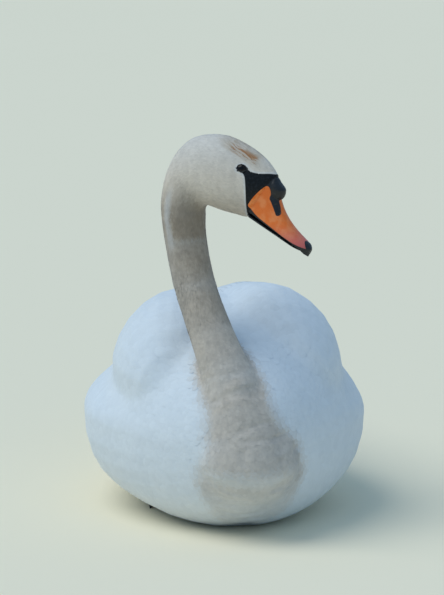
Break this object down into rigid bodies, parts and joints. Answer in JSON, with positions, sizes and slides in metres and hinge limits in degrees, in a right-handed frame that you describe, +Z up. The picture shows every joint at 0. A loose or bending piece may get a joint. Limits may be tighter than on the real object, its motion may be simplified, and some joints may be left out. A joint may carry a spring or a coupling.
{
  "type": "mute swan, still model",
  "caption": "Life-size mute swan lying on its belly with wings folded and feet tucked under, neck raised in an S and head turned to its left; a still display figure.",
  "frame": {"origin": "on the floor at the flat under the belly, below the widest place of the body", "axes": "+Z up; the bird faces -Y, with its left side towards +X and its tail towards +Y"},
  "size_m": [0.3362, 0.7845, 0.4669],
  "materials": {
    "plumage": "soft white feathers, matt",
    "neck_plumage": "short fine feathers, matt, warm grey-white",
    "bill_orange": "smooth orange horn with a satin sheen; its knob, nostril patch, edge and nail are black",
    "bill_black": "smooth black horn",
    "eye": "glossy near-black",
    "foot_skin": "black scaled skin"
  },
  "bodies": {
    "root": {"trunk": "plumage", "neck_lower": "neck_plumage", "neck_middle": "neck_plumage", "neck_upper": "neck_plumage", "head": "neck_plumage", "bill_upper": "bill_orange", "bill_lower": "bill_black", "eye_left": "eye", "eye_right": "eye", "wing_left": "plumage", "wing_right": "plumage", "tail": "plumage", "leg_left": "foot_skin", "leg_right": "foot_skin", "foot_left": "foot_skin", "foot_right": "foot_skin"}
  },
  "joints": []
}
